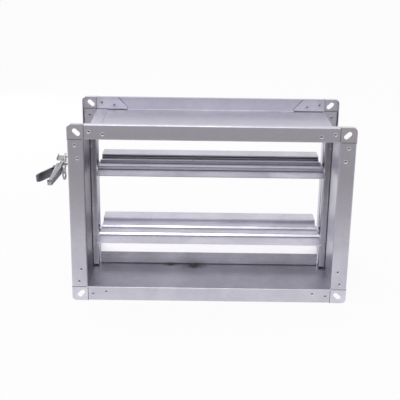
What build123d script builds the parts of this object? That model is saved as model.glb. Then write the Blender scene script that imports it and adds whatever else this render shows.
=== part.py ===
"""Manual volume control damper for a rectangular duct.

A casing of four folded walls with pressed flange corners carries two ribbed blades that turn
together. The left shaft of the upper blade comes out to a hand lever on a locking quadrant,
and a link bar outside the right wall carries the turn on to the lower blade.
X runs across the duct, Y along the air path away from the front flange, Z up.
The origin is the middle of the front opening.
"""
import os
from math import atan2, cos, degrees, radians, sin, tan

from build123d import *

os.makedirs("parts", exist_ok=True)

# Casing walls
opening_width = 504.0
opening_height = 320.0
casing_length = 230.0
casing_sheet = 1.2
bend_radius = 1.5
side_flange = 33.4
top_flange = 31.3
lip_depth = 10.0
seam_tab = 22.0
seam_tab_margin = 6.0
seam_clinch_spread = 120.0
seam_gap = 0.8

# Flange corners, each a square face with two legs behind the flanges
corner_radius = 9.0
corner_slot_length = 18.0
corner_slot_width = 9.3
corner_slot_from_side = 18.6
corner_slot_from_top = 16.0
leg_sheet = 1.8
leg_reach = 100.0
leg_shoulder = 79.0
leg_nose = 4.0
leg_lap = 2.5
leg_clearance = 0.2

# Clinched spots that hold the corners: distance from the corner's end, then from the flange's edge
clinch_spots = ((43.0, 15.0), (70.5, 20.0))
clinch_pit_radius = 3.2
clinch_pit_depth = 1.0
clinch_button_radius = 4.4
clinch_button_top = 3.4
clinch_button_height = 1.2
clinch_dimple_radius = 2.4
clinch_dimple_depth = 0.9

# Blades, turning about two axes half way along the casing and a little below the even places
blade_spacing = 149.0
axis_drop = 3.0
closing_angle = 86.5
blade_end_gap = 1.5
blade_sheet = 1.2
blade_front = 77.8
blade_back = 77.8
front_rib = 31.5
back_rib = 8.5
rib_half_width = 4.5
rib_height = 5.3
rib_root_radius = 2.0
rib_crest_radius = 0.8
flap_step_at = 41.5
flap_step_run = 1.0
flap_step_height = 6.3

# Shafts and bushes
shaft_radius = 4.0
tang_length = 62.0
tang_to_round = 0.6
collar_radius = 6.0
collar_width = 2.0
square_across = 6.0
square_clearance = 0.05
thread_radius = 3.0
thread_past_nut = 2.0
running_clearance = 0.05
fit_clearance = 0.03
drill_length = 6.0
seat_relief = 0.15
bush_radius = 6.0
bush_flange_radius = 9.0
bush_flange = 1.4
bush_past_wall = 2.3
bush_to_collar = 0.3
shaft_chamfer = 0.8
free_end_past_bush = 3.5

# Screws that hold the shafts under the blades
screw_from_end = (17.0, 54.0)
screw_radius = 1.5
screw_depth = 3.0
screw_head_radius = 2.8
screw_head_height = 1.5

# Nuts and washers on the shaft ends
nut_across = 10.0
nut_height = 4.5
washer_radius = 6.5
washer_thickness = 1.2

# Jambs inside the side walls
jamb_depth = 11.0
jamb_half_width = 16.0
jamb_foot = 15.0
jamb_sheet = 1.2
jamb_bead_at = 12.0
jamb_bead_half_width = 2.2
jamb_bead_height = 1.2
jamb_end_gap = 4.0
jamb_crown_radius = 1.5
jamb_foot_radius = 0.6

# Stop strips on the floor and under the roof
stop_end_gap = 3.0
stop_height = 28.0
stop_foot = 15.0
stop_sheet = 1.2
stop_bend = 3.2
stop_clearance = 0.3

# Rivets of the jambs and stops
rivet_radius = 1.6
rivet_head_radius = 3.2
rivet_head_height = 1.3
rivet_tail_radius = 2.6
rivet_tail_height = 1.0
jamb_rivet_spacing = 118.0
stop_rivet_spacing = 140.0

# Quadrant and its stand-off pillars outside the left wall
quadrant_stand_off = 56.3
quadrant_plate = 2.5
quadrant_radius = 36.0
quadrant_margin = 16.0
quadrant_hub = 13.0
quadrant_ear = 6.5
quadrant_shaft_clearance = 0.3
pillar_spots = ((-9.0, 13.0), (-11.0, -5.0))
pillar_radius = 3.0
pillar_spigot = 2.0
pillar_tail_height = 1.0

# Hand lever, drooping a little at its front end
lever_droop = 4.5
lever_gap = 0.3
lever_plate = 2.0
lever_reach = 100.0
lever_hub = 9.0
lever_root_half = 9.0
lever_tip_half = 6.0
lever_joggle_at = 40.0
lever_joggle = 9.0
lever_web_start = 21.0
lever_web_root = 10.0
lever_web_tip = 4.0
lever_web = 1.6
lever_curl = 7.0
lever_curl_bend = 1.0
saddle_back = 10.0
saddle_front = 14.0
saddle_height = 12.0
saddle_width = 13.0
saddle_lip = 6.0

# Lock bolt in the quadrant's slot, and the clamp nut with its leaf
lock_radius = 27.0
lock_bolt_radius = 3.0
lock_head_radius = 6.0
lock_head_height = 2.5
lock_slot_clearance = 0.3
lock_end_past_nut = 1.0
clamp_hub_radius = 6.5
clamp_hub_length = 15.0
clamp_leaf = 2.0
clamp_leaf_half_width = 11.0
clamp_leaf_root = 10.0
clamp_leaf_reach = 37.0
clamp_leaf_rise = 32.0
clamp_leaf_corner = 7.0
clamp_angle = 15.0

# Linkage outside the right wall
crank_from_wall = 5.1
crank_plate = 3.0
crank_radius = 38.0
crank_hub = 11.0
crank_end = 8.0
link_plate = 3.0
link_half_width = 8.0
link_gap = 0.3
link_pin_radius = 3.0
link_pin_head_radius = 5.0
link_pin_head_height = 1.4

# Places worked out from the sizes above
half_width = opening_width / 2
half_height = opening_height / 2
outer_bend = bend_radius + casing_sheet
pivot_depth = casing_length / 2
upper_z = blade_spacing / 2 - axis_drop
lower_z = -blade_spacing / 2 - axis_drop
wall_outside = half_width + casing_sheet
crown_inside = half_width - jamb_depth
bush_inside = crown_inside - bush_flange
collar_outside = bush_inside - bush_to_collar
collar_inside = collar_outside - collar_width
blade_half_length = collar_inside - blade_end_gap
stop_half_length = crown_inside - stop_end_gap
quadrant_inside = wall_outside + quadrant_stand_off
quadrant_outside = quadrant_inside + quadrant_plate
lever_inside = quadrant_outside + lever_gap
lever_outside = lever_inside + lever_plate
crank_inside = wall_outside + crank_from_wall
crank_outside = crank_inside + crank_plate
link_inside = crank_outside + link_gap
crank_angle = -closing_angle / 2
closing = radians(closing_angle)
dome_middle = radians(45)


def write(part, label):
    """Labels a finished piece and writes its file."""
    part.label = label
    export_step(part, f"parts/{label}.step")


# Casing walls: each is one folded sheet, and its seam tab laps the next wall on the outside
wall_frames = {
    "top_wall": (Plane((0, 0, half_height), (0, 1, 0), (1, 0, 0)), half_width, top_flange, side_flange),
    "right_wall": (Plane((half_width, 0, 0), (0, 1, 0), (0, 0, -1)), half_height, side_flange, top_flange),
    "bottom_wall": (Plane((0, 0, -half_height), (0, 1, 0), (-1, 0, 0)), half_width, top_flange, side_flange),
    "left_wall": (Plane((-half_width, 0, 0), (0, 1, 0), (0, 0, 1)), half_height, side_flange, top_flange),
}
rivet_hole = rivet_radius + fit_clearance
square_hole = square_across + 2 * square_clearance
foot_rivet_offset = jamb_half_width + jamb_foot / 2
jamb_rivet_spots = [
    (pivot_depth + side * foot_rivet_offset, step * jamb_rivet_spacing)
    for side in (-1, 1)
    for step in (-1, 0, 1)
]
stop_rivet_runs = [step * stop_rivet_spacing for step in (-1.5, -0.5, 0.5, 1.5)]
bottom_stop_edge = half_height + lower_z - stop_height
top_stop_edge = half_height - upper_z - stop_height
flap_top = flap_step_height + blade_sheet
bottom_stop_face = pivot_depth - bottom_stop_edge / tan(closing) + stop_clearance
top_stop_face = pivot_depth + top_stop_edge / tan(closing) - flap_top / sin(closing) - stop_clearance
stop_rivet_depth = {
    "bottom_wall": bottom_stop_face + stop_sheet + stop_foot / 2,
    "top_wall": top_stop_face - stop_sheet - stop_foot / 2,
}
pit_sphere = (clinch_pit_radius**2 + clinch_pit_depth**2) / (2 * clinch_pit_depth)
for name, (frame, half_run, flange, next_flange) in wall_frames.items():
    seam_end = half_run + 2 * casing_sheet
    tab_frame = Plane(
        frame.origin + frame.x_dir * (casing_length - seam_tab_margin),
        x_dir=frame.z_dir,
        z_dir=frame.x_dir * -1,
    )
    with BuildPart() as wall:
        with BuildSketch(frame.offset(-half_run)):
            with BuildLine():
                FilletPolyline(
                    (lip_depth, flange),
                    (0, flange),
                    (0, 0),
                    (casing_length, 0),
                    (casing_length, flange),
                    (casing_length - lip_depth, flange),
                    radius=outer_bend,
                )
                offset(amount=casing_sheet, side=Side.LEFT)
            make_face()
        extrude(amount=2 * half_run)
        with BuildSketch(tab_frame):
            with BuildLine():
                Polyline(
                    (half_run, 0),
                    (half_run + casing_sheet, 0),
                    (half_run + casing_sheet, -seam_tab),
                    (seam_end, -seam_tab),
                    (seam_end, casing_sheet),
                    (half_run, casing_sheet),
                    close=True,
                )
            make_face()
        extrude(amount=casing_length - 2 * seam_tab_margin)
        pits = [
            frame * Location((casing_length / 2 + side * seam_clinch_spread / 2, -seam_tab / 2, seam_end))
            for side in (-1, 1)
        ]
        for face_depth, facing in ((0, -1), (casing_length, 1)):
            for run, inset in clinch_spots:
                along = half_run + next_flange - run
                pits += [
                    frame * Location((face_depth, flange - inset, end * along), (0, 90 * facing, 0))
                    for end in (-1, 1)
                ]
        with Locations(*[pit * Pos(0, 0, pit_sphere - clinch_pit_depth) for pit in pits]):
            Sphere(pit_sphere, mode=Mode.SUBTRACT)
        holes = []
        if name in ("left_wall", "right_wall"):
            holes += [(bush_radius, pivot_depth, z * frame.z_dir.Z) for z in (upper_z, lower_z)]
            holes += [(rivet_radius, y, z) for y, z in jamb_rivet_spots]
        if name == "left_wall":
            holes += [(pillar_spigot, pivot_depth - forward, upper_z + up) for forward, up in pillar_spots]
        if name in stop_rivet_depth:
            holes += [(rivet_radius, stop_rivet_depth[name], x) for x in stop_rivet_runs]
        for radius, y, along in holes:
            with Locations(frame * Location((y, 0, along), (90, 0, 0))):
                Cylinder(radius + fit_clearance, drill_length, mode=Mode.SUBTRACT)
    write(wall.part, name)


# Flange corners: a flush square with a turned-back rim, and two legs joggled behind the flanges
corner_outlines = []
for inset in (0, casing_sheet):
    with BuildSketch() as outline:
        with BuildLine():
            edge = FilletPolyline(
                (seam_gap, top_flange - inset),
                (side_flange - inset, top_flange - inset),
                (side_flange - inset, seam_gap),
                radius=corner_radius - inset,
            )
            Polyline(edge @ 1, (seam_gap, seam_gap), edge @ 0)
        make_face()
    corner_outlines.append(outline.sketch)


def leg_outline(own_flange, along_flange):
    """Gives a leg's corners: first along the leg, away from the corner, then across the flange."""
    low = outer_bend + leg_clearance
    high = own_flange - outer_bend - leg_clearance
    tip = along_flange - leg_reach
    shoulder = along_flange - leg_shoulder
    nose = [(tip + leg_nose / 2, low), (tip, low + leg_nose), (shoulder, high)]
    return [(leg_lap, low), *nose, (leg_lap, high)]


slot_angle = degrees(atan2(top_flange, side_flange))
for end, face_depth, inward in (("front", 0, 1), ("back", casing_length, -1)):
    for side, across in (("left", -1), ("right", 1)):
        for level, up in (("top", 1), ("bottom", -1)):
            turn = -across * up
            depth_sign = turn * inward
            face_frame = Plane(
                (across * half_width, face_depth, up * half_height), (across, 0, 0), (0, turn, 0)
            )
            leg_frame = face_frame.offset(depth_sign * casing_sheet)
            button_frame = face_frame.offset(depth_sign * (casing_sheet + leg_sheet))
            with BuildPart() as corner:
                with BuildSketch(face_frame):
                    add(corner_outlines[0])
                    with Locations((side_flange - corner_slot_from_side, top_flange - corner_slot_from_top)):
                        SlotOverall(
                            corner_slot_length, corner_slot_width, rotation=slot_angle, mode=Mode.SUBTRACT
                        )
                extrude(amount=depth_sign * casing_sheet)
                with BuildSketch(face_frame):
                    add(corner_outlines[0])
                    add(corner_outlines[1], mode=Mode.SUBTRACT)
                extrude(amount=depth_sign * lip_depth)
                with BuildSketch(leg_frame):
                    with BuildLine():
                        Polyline(*leg_outline(top_flange, side_flange), close=True)
                    make_face()
                    with BuildLine():
                        Polyline(*[(p, r) for r, p in leg_outline(side_flange, top_flange)], close=True)
                    make_face()
                extrude(amount=depth_sign * leg_sheet)
                buttons = [(side_flange - run, top_flange - inset) for run, inset in clinch_spots]
                buttons += [(side_flange - inset, top_flange - run) for run, inset in clinch_spots]
                tilt = 0 if depth_sign > 0 else 180
                bosses = [button_frame * Location((p, r, 0), (tilt, 0, 0)) for p, r in buttons]
                with Locations(*bosses):
                    Cone(
                        clinch_button_radius,
                        clinch_button_top,
                        clinch_button_height,
                        align=(Align.CENTER, Align.CENTER, Align.MIN),
                    )
                with Locations(*[boss * Pos(0, 0, clinch_button_height) for boss in bosses]):
                    Cylinder(
                        clinch_dimple_radius,
                        clinch_dimple_depth,
                        align=(Align.CENTER, Align.CENTER, Align.MAX),
                        mode=Mode.SUBTRACT,
                    )
            write(corner.part, f"corner_{end}_{level}_{side}")

# Jambs: a hat channel on each side wall, with two pressed beads, that holds the bushes
jamb_line = [
    (-jamb_half_width - jamb_foot, jamb_sheet),
    (-jamb_half_width, jamb_sheet),
    (-jamb_half_width, jamb_depth),
    (-jamb_bead_at - jamb_bead_half_width, jamb_depth),
    (-jamb_bead_at, jamb_depth + jamb_bead_height),
    (-jamb_bead_at + jamb_bead_half_width, jamb_depth),
]
jamb_line += [(-along, high) for along, high in reversed(jamb_line)]
jamb_radii = [jamb_foot_radius, jamb_crown_radius, 0, 0, 0, 0, 0, 0, jamb_crown_radius, jamb_foot_radius]
jamb_half_height = half_height - jamb_end_gap
for side, across in (("left", -1), ("right", 1)):
    jamb_frame = Plane(
        (across * half_width, pivot_depth, -across * jamb_half_height), (0, 1, 0), (0, 0, across)
    )
    with BuildPart() as jamb:
        with BuildSketch(jamb_frame):
            with BuildLine():
                FilletPolyline(*jamb_line, radius=jamb_radii)
                offset(amount=jamb_sheet, side=Side.RIGHT, kind=Kind.INTERSECTION)
            make_face()
        extrude(amount=2 * jamb_half_height)
        crown = across * crown_inside
        with Locations(*[Location((crown, pivot_depth, z), (0, 90, 0)) for z in (upper_z, lower_z)]):
            Cylinder(bush_radius + fit_clearance, drill_length, mode=Mode.SUBTRACT)
        foot_holes = [Location((across * half_width, y, z), (0, 90, 0)) for y, z in jamb_rivet_spots]
        with Locations(*foot_holes):
            Cylinder(rivet_hole, drill_length, mode=Mode.SUBTRACT)
    write(jamb.part, f"{side}_jamb")

# Stops: an angle strip behind the lower blade's edge and one in front of the upper blade's edge
for name, up, face, back in (("bottom_stop", -1, bottom_stop_face, 1), ("top_stop", 1, top_stop_face, -1)):
    run_sign = up * back
    stop_frame = Plane((-run_sign * stop_half_length, face, up * half_height), (0, back, 0), (run_sign, 0, 0))
    with BuildPart() as stop:
        with BuildSketch(stop_frame):
            with BuildLine():
                FilletPolyline(
                    (0, -stop_height),
                    (0, 0),
                    (stop_sheet + stop_foot, 0),
                    radius=stop_bend,
                )
                offset(amount=stop_sheet, side=Side.RIGHT)
            make_face()
        extrude(amount=2 * stop_half_length)
        rivet_at = face + back * (stop_sheet + stop_foot / 2)
        with Locations(*[(x, rivet_at, up * half_height) for x in stop_rivet_runs]):
            Cylinder(rivet_hole, drill_length, mode=Mode.SUBTRACT)
    write(stop.part, name)

# Rivets: a dome on the inner face, a shank through both sheets and a peened tail outside
rivets = []
for grip in (jamb_sheet + casing_sheet, stop_sheet + casing_sheet):
    with BuildPart() as rivet:
        with BuildSketch(Plane.XZ):
            with BuildLine():
                ThreePointArc(
                    (0, rivet_head_height),
                    (rivet_head_radius * cos(dome_middle), rivet_head_height * sin(dome_middle)),
                    (rivet_head_radius, 0),
                )
                Polyline(
                    (rivet_head_radius, 0),
                    (rivet_radius, 0),
                    (rivet_radius, -grip),
                    (rivet_tail_radius, -grip),
                    (rivet_tail_radius, -grip - rivet_tail_height),
                    (0, -grip - rivet_tail_height),
                    (0, rivet_head_height),
                )
            make_face()
        revolve(axis=Axis.Z)
    rivets.append(rivet.part)
jamb_rivet, stop_rivet = rivets

with BuildPart() as jamb_rivets:
    head_plane = half_width - jamb_sheet
    with Locations(*[Location((-head_plane, y, z), (0, 90, 0)) for y, z in jamb_rivet_spots]):
        add(jamb_rivet)
    with Locations(*[Location((head_plane, y, z), (0, -90, 0)) for y, z in jamb_rivet_spots]):
        add(jamb_rivet)
write(jamb_rivets.part, "jamb_rivets")

with BuildPart() as stop_rivets:
    head_plane = half_height - stop_sheet
    with Locations(*[(x, stop_rivet_depth["bottom_wall"], -head_plane) for x in stop_rivet_runs]):
        add(stop_rivet)
    roof_rivets = stop_rivet_depth["top_wall"]
    with Locations(*[Location((x, roof_rivets, head_plane), (180, 0, 0)) for x in stop_rivet_runs]):
        add(stop_rivet)
write(stop_rivets.part, "stop_rivets")

# Bushes: a flanged sleeve through the jamb and the wall at each blade end
bush_length = wall_outside + bush_past_wall - bush_inside
for level, z in (("upper", upper_z), ("lower", lower_z)):
    for side, across in (("left", -1), ("right", 1)):
        bush_frame = Plane((across * bush_inside, pivot_depth, z), (0, 1, 0), (across, 0, 0))
        with BuildPart() as bush:
            with BuildSketch(bush_frame):
                Circle(bush_flange_radius)
            extrude(amount=bush_flange)
            with BuildSketch(bush_frame):
                Circle(bush_radius)
            extrude(amount=bush_length)
            with BuildSketch(bush_frame):
                Circle(shaft_radius + running_clearance)
            extrude(amount=bush_length, mode=Mode.SUBTRACT)
        write(bush.part, f"{level}_{side}_bush")

# Blades: a roll-formed sheet with two ribs and a stepped back flap that laps the next blade
blade_line = [
    (-blade_front, 0),
    (-front_rib - rib_half_width, 0),
    (-front_rib, rib_height),
    (-front_rib + rib_half_width, 0),
    (back_rib - rib_half_width, 0),
    (back_rib, rib_height),
    (back_rib + rib_half_width, 0),
    (flap_step_at, 0),
    (flap_step_at + flap_step_run, flap_step_height),
    (blade_back, flap_step_height),
]
blade_radii = [
    rib_root_radius,
    rib_crest_radius,
    rib_root_radius,
    rib_root_radius,
    rib_crest_radius,
    rib_root_radius,
    rib_root_radius,
    rib_crest_radius,
]
screw_runs = [side * (blade_half_length - inset) for side in (-1, 1) for inset in screw_from_end]
with BuildPart() as blade_screw:
    with BuildSketch(Plane.XZ):
        with BuildLine():
            ThreePointArc(
                (0, screw_head_height),
                (screw_head_radius * cos(dome_middle), screw_head_height * sin(dome_middle)),
                (screw_head_radius, 0),
            )
            Polyline(
                (screw_head_radius, 0),
                (screw_radius, 0),
                (screw_radius, -blade_sheet - screw_depth),
                (0, -blade_sheet - screw_depth),
                (0, screw_head_height),
            )
        make_face()
    revolve(axis=Axis.Z)
for level, z in (("upper", upper_z), ("lower", lower_z)):
    blade_frame = Plane((-blade_half_length, pivot_depth, z), (0, 1, 0), (1, 0, 0))
    with BuildPart() as blade:
        with BuildSketch(blade_frame):
            with BuildLine():
                FilletPolyline(*blade_line, radius=blade_radii)
                offset(amount=blade_sheet, side=Side.LEFT)
            make_face()
        extrude(amount=2 * blade_half_length)
        with Locations(*[(x, pivot_depth, z) for x in screw_runs]):
            Cylinder(screw_radius + fit_clearance, drill_length, mode=Mode.SUBTRACT)
    write(blade.part, f"{level}_blade")
    with BuildPart() as blade_screws:
        with Locations(*[(x, pivot_depth, z + blade_sheet) for x in screw_runs]):
            add(blade_screw.part)
    write(blade_screws.part, f"{level}_blade_screws")

# Shafts: a half-round tang under the blade, a collar, a journal, and a squared and threaded end
tang_start = blade_half_length - tang_length
round_start = blade_half_length + tang_to_round
crank_thread_end = crank_outside + washer_thickness + nut_height + thread_past_nut
lever_thread_end = lever_outside + washer_thickness + nut_height + thread_past_nut
lever_seat = (lever_inside - seat_relief, lever_outside - seat_relief, lever_thread_end)
crank_seat = (crank_inside - seat_relief, crank_outside - seat_relief, crank_thread_end)
free_end = wall_outside + bush_past_wall + free_end_past_bush
shafts = {
    "drive_shaft": (-1, upper_z, lever_seat),
    "upper_stub_shaft": (1, upper_z, crank_seat),
    "lower_stub_shaft": (1, lower_z, crank_seat),
    "lower_free_shaft": (-1, lower_z, (free_end, None, None)),
}


def axis_frame(across, x, z):
    """Gives the plane across a blade's axis, facing out of the side wall."""
    return Plane((across * x, pivot_depth, z), (0, 1, 0), (across, 0, 0))


for name, (across, z, (round_end, square_end, thread_end)) in shafts.items():
    with BuildPart() as shaft:
        with BuildSketch(axis_frame(across, tang_start, z)):
            Circle(shaft_radius)
            with Locations((0, across * shaft_radius)):
                Rectangle(2 * shaft_radius, 2 * shaft_radius, mode=Mode.SUBTRACT)
        extrude(amount=round_start - tang_start)
        with BuildSketch(axis_frame(across, round_start, z)):
            Circle(shaft_radius)
        extrude(amount=round_end - round_start)
        with BuildSketch(axis_frame(across, collar_inside, z)):
            Circle(collar_radius)
        extrude(amount=collar_width)
        if square_end:
            with BuildSketch(axis_frame(across, round_end, z)):
                Circle(shaft_radius)
                Rectangle(square_across, square_across, mode=Mode.INTERSECT)
            extrude(amount=square_end - round_end)
            with BuildSketch(axis_frame(across, square_end, z)):
                Circle(thread_radius)
            extrude(amount=thread_end - square_end)
        tip = shaft.faces().sort_by(Axis.X)[0 if across < 0 else -1]
        chamfer(tip.edges(), shaft_chamfer)
        shaft_screws = [across * (blade_half_length - inset) for inset in screw_from_end]
        with Locations(*[(x, pivot_depth, z) for x in shaft_screws]):
            Cylinder(
                screw_radius + fit_clearance,
                screw_depth + fit_clearance,
                align=(Align.CENTER, Align.CENTER, Align.MAX),
                mode=Mode.SUBTRACT,
            )
    write(shaft.part, name)

# Nuts and washers that clamp the lever and the cranks on the squares
shaft_ends = {
    "upper": (axis_frame(-1, lever_outside, upper_z), axis_frame(1, crank_outside, upper_z)),
    "lower": (axis_frame(1, crank_outside, lower_z),),
}
for level, frames in shaft_ends.items():
    with BuildPart() as washers:
        for frame in frames:
            with BuildSketch(frame):
                Circle(washer_radius)
                Circle(thread_radius + fit_clearance, mode=Mode.SUBTRACT)
            extrude(amount=washer_thickness)
    write(washers.part, f"{level}_shaft_washers")
    with BuildPart() as nuts:
        for frame in frames:
            with BuildSketch(frame.offset(washer_thickness)):
                RegularPolygon(nut_across / 2, 6, major_radius=False)
                Circle(thread_radius + fit_clearance, mode=Mode.SUBTRACT)
            extrude(amount=nut_height)
    write(nuts.part, f"{level}_shaft_nuts")

# Quadrant: a fixed plate with an arc slot for the lock bolt; here x is forward, y up and z outward
quadrant_frame = Plane((-quadrant_inside, pivot_depth, upper_z), (0, -1, 0), (-1, 0, 0))
sweep_start = -lever_droop - closing_angle
with BuildSketch() as ears:
    Circle(quadrant_hub)
    with Locations(*pillar_spots):
        Circle(quadrant_ear)
    make_hull()
with BuildPart() as quadrant:
    with BuildSketch(quadrant_frame):
        with BuildLine():
            rim_arc = CenterArc(
                (0, 0), quadrant_radius, sweep_start - quadrant_margin, closing_angle + 2 * quadrant_margin
            )
            Polyline(rim_arc @ 1, (0, 0), rim_arc @ 0)
        make_face()
        add(ears.sketch)
    extrude(amount=quadrant_plate)
    with BuildSketch(quadrant_frame):
        with BuildLine():
            CenterArc((0, 0), lock_radius, sweep_start, closing_angle)
            offset(amount=lock_bolt_radius + lock_slot_clearance)
        make_face()
        Circle(shaft_radius + quadrant_shaft_clearance)
        with Locations(*pillar_spots):
            Circle(pillar_spigot + fit_clearance)
    extrude(amount=quadrant_plate, mode=Mode.SUBTRACT)
write(quadrant.part, "quadrant")

# Stand-off pillars: turned posts with a spigot through the quadrant and one peened inside the wall
pillar_foot = Plane((-wall_outside, pivot_depth, upper_z), (0, -1, 0), (-1, 0, 0))
with BuildPart() as pillars:
    with BuildSketch(pillar_foot):
        with Locations(*pillar_spots):
            Circle(pillar_radius)
    extrude(amount=quadrant_stand_off)
    with BuildSketch(pillar_foot):
        with Locations(*pillar_spots):
            Circle(pillar_spigot)
    extrude(amount=quadrant_stand_off + quadrant_plate)
    with BuildSketch(pillar_foot):
        with Locations(*pillar_spots):
            Circle(pillar_spigot)
    extrude(amount=-casing_sheet)
    with BuildSketch(pillar_foot.offset(-casing_sheet)):
        with Locations(*pillar_spots):
            Circle(pillar_radius)
    extrude(amount=-pillar_tail_height)
write(pillars.part, "standoff_pillars")

# Hand lever: a pressed arm with a bent-over web, a thumb saddle at the hub and a curled tip
droop = radians(lever_droop)
lever_frame = Plane((-lever_inside, pivot_depth, upper_z), (0, -cos(droop), -sin(droop)), (-1, 0, 0))
lever_plan = Plane(lever_frame.origin, x_dir=lever_frame.x_dir, z_dir=-lever_frame.y_dir)
with BuildPart() as lever_web_part:
    with BuildSketch(lever_frame):
        with BuildLine():
            Polyline(
                (lever_web_start, lever_root_half),
                (lever_reach, lever_tip_half),
                (lever_reach, lever_tip_half - lever_web),
                (lever_web_start, lever_root_half - lever_web),
                close=True,
            )
        make_face()
    extrude(amount=lever_plate + lever_joggle + lever_curl)
    with BuildSketch(lever_plan):
        with BuildLine():
            Polyline(
                (lever_web_start, 0),
                (lever_joggle_at, 0),
                (lever_reach, lever_joggle),
                (lever_reach, lever_joggle + lever_plate + lever_web_tip),
                (lever_web_start, lever_plate + lever_web_root),
                close=True,
            )
        make_face()
    extrude(amount=lever_hub, both=True, mode=Mode.INTERSECT)
with BuildPart() as lever:
    with BuildSketch(lever_plan.offset(-saddle_height)):
        with BuildLine():
            FilletPolyline(
                (-saddle_back, 0),
                (lever_joggle_at, 0),
                (lever_reach, lever_joggle),
                (lever_reach, lever_joggle + lever_plate + lever_curl),
                radius=[0, lever_plate + lever_curl_bend],
            )
            offset(amount=lever_plate, side=Side.LEFT, kind=Kind.INTERSECTION)
        make_face()
    extrude(amount=saddle_height + lever_hub)
    with BuildSketch(lever_frame):
        with BuildLine():
            Polyline(
                (0, -lever_hub),
                (lever_web_start, -lever_root_half),
                (lever_reach, -lever_tip_half),
                (lever_reach, lever_tip_half),
                (lever_web_start, lever_root_half),
                (saddle_front, saddle_height),
                (-saddle_back, saddle_height),
                (-saddle_back, 0),
                close=True,
            )
        make_face()
        Circle(lever_hub)
    extrude(amount=lever_plate + lever_joggle + lever_curl, mode=Mode.INTERSECT)
    add(lever_web_part.part)
    saddle_end = lever_frame.from_local_coords((saddle_front, 0, 0))
    with BuildSketch(Plane(saddle_end, lever_frame.z_dir, -lever_frame.x_dir)):
        with BuildLine():
            FilletPolyline(
                (0, saddle_height),
                (saddle_width, saddle_height),
                (saddle_width, saddle_height + saddle_lip),
                radius=lever_web + lever_curl_bend,
            )
            offset(amount=lever_web, side=Side.LEFT)
        make_face()
    extrude(amount=saddle_front + saddle_back)
    with BuildSketch(lever_frame):
        Rectangle(square_hole, square_hole, rotation=lever_droop)
        with Locations((lock_radius, 0)):
            Circle(lock_bolt_radius + fit_clearance)
    extrude(amount=lever_plate, mode=Mode.SUBTRACT)
write(lever.part, "hand_lever")

# Lock bolt: carried by the lever, its head behind the quadrant and its shank through the slot
lock_frame = Plane(lever_frame.from_local_coords((lock_radius, 0, 0)), lever_frame.x_dir, lever_frame.z_dir)
lock_head_face = quadrant_inside - lever_gap - lever_inside
hub_start = lever_plate + lever_gap
with BuildPart() as lock_bolt:
    with BuildSketch(lock_frame.offset(lock_head_face)):
        Circle(lock_head_radius)
    extrude(amount=-lock_head_height)
    with BuildSketch(lock_frame.offset(lock_head_face)):
        Circle(lock_bolt_radius)
    extrude(amount=hub_start + clamp_hub_length + lock_end_past_nut - lock_head_face)
    chamfer(lock_bolt.faces().sort_by(Axis.X)[0].edges(), lock_end_past_nut / 2)
write(lock_bolt.part, "lock_bolt")

# Clamp nut: a threaded hub with one splayed leaf to turn it by
leaf_frame = Plane(
    lock_frame.from_local_coords((0, 0, hub_start + clamp_hub_length - clamp_leaf)),
    lever_frame.x_dir.rotate(Axis((0, 0, 0), lever_frame.z_dir), -clamp_angle),
    lever_frame.z_dir,
)
leaf_plan = Plane(leaf_frame.origin, x_dir=leaf_frame.x_dir, z_dir=-leaf_frame.y_dir)
with BuildPart() as clamp_nut:
    with BuildSketch(leaf_plan.offset(-clamp_leaf_half_width)):
        with BuildLine():
            Polyline((0, 0), (clamp_leaf_root, 0), (clamp_leaf_reach, clamp_leaf_rise))
            offset(amount=clamp_leaf, side=Side.LEFT, kind=Kind.INTERSECTION)
        make_face()
    extrude(amount=2 * clamp_leaf_half_width)
    with BuildSketch(leaf_frame):
        with Locations((clamp_leaf_reach / 2, 0)):
            RectangleRounded(clamp_leaf_reach, 2 * clamp_leaf_half_width, clamp_leaf_corner)
        Circle(clamp_hub_radius)
    extrude(amount=clamp_leaf_rise + clamp_leaf, mode=Mode.INTERSECT)
    with BuildSketch(lock_frame.offset(hub_start)):
        Circle(clamp_hub_radius)
    extrude(amount=clamp_hub_length)
    with BuildSketch(lock_frame.offset(hub_start)):
        Circle(lock_bolt_radius + running_clearance)
    extrude(amount=clamp_hub_length, mode=Mode.SUBTRACT)
write(clamp_nut.part, "clamp_nut")

# Cranks: a plate arm squared on each right-hand shaft, joined by the link bar so both blades turn alike
pin_along = crank_radius * cos(radians(crank_angle))
pin_up = crank_radius * sin(radians(crank_angle))
for level, z in (("upper", upper_z), ("lower", lower_z)):
    crank_frame = Plane((crank_inside, pivot_depth, z), (0, 1, 0), (1, 0, 0))
    with BuildPart() as crank:
        with BuildSketch(crank_frame):
            Circle(crank_hub)
            with Locations((pin_along, pin_up)):
                Circle(crank_end)
            make_hull()
        extrude(amount=crank_plate)
        with BuildSketch(crank_frame):
            Rectangle(square_hole, square_hole)
            with Locations((pin_along, pin_up)):
                Circle(link_pin_radius + running_clearance)
        extrude(amount=crank_plate, mode=Mode.SUBTRACT)
    write(crank.part, f"{level}_crank")

link_middle = (link_inside, pivot_depth + pin_along, pin_up - axis_drop)
link_frame = Plane(link_middle, (0, 1, 0), (1, 0, 0))
pin_spots = [(0, blade_spacing / 2), (0, -blade_spacing / 2)]
with BuildPart() as link_bar:
    with BuildSketch(link_frame):
        SlotCenterToCenter(blade_spacing, 2 * link_half_width, rotation=90)
        with Locations(*pin_spots):
            Circle(link_pin_radius + fit_clearance, mode=Mode.SUBTRACT)
    extrude(amount=link_plate)
write(link_bar.part, "link_bar")

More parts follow.
